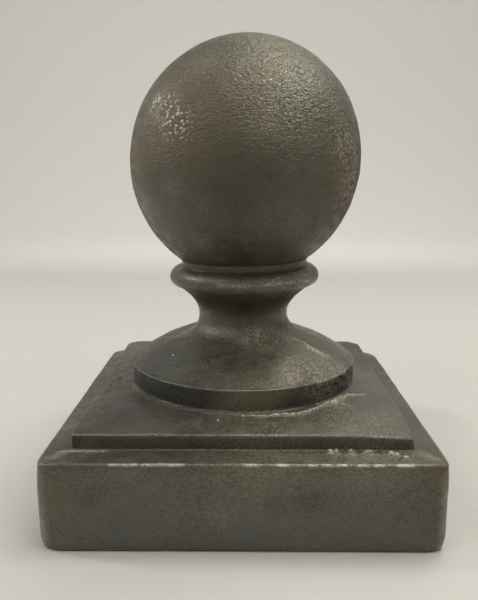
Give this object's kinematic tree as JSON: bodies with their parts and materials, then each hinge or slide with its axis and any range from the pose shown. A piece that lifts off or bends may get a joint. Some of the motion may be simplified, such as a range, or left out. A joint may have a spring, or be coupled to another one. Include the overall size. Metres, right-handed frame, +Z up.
{
  "type": "ball post cap",
  "caption": "Cast-iron cap for a square post: a ball on a moulded neck, a round disc and a square plate over a hollow square base.",
  "frame": {"origin": "middle of the bottom rim, on the surface that the cap stands on", "axes": "+Z up through the ball, X and Y square to the sides of the base"},
  "size_m": [0.1152, 0.1152, 0.1493],
  "materials": {
    "cast_iron": "bare sand-cast iron with a dark grey-brown oiled patina, pitted grain and edges worn bright"
  },
  "bodies": {
    "root": {"ball_post_cap": "cast_iron"}
  },
  "joints": []
}
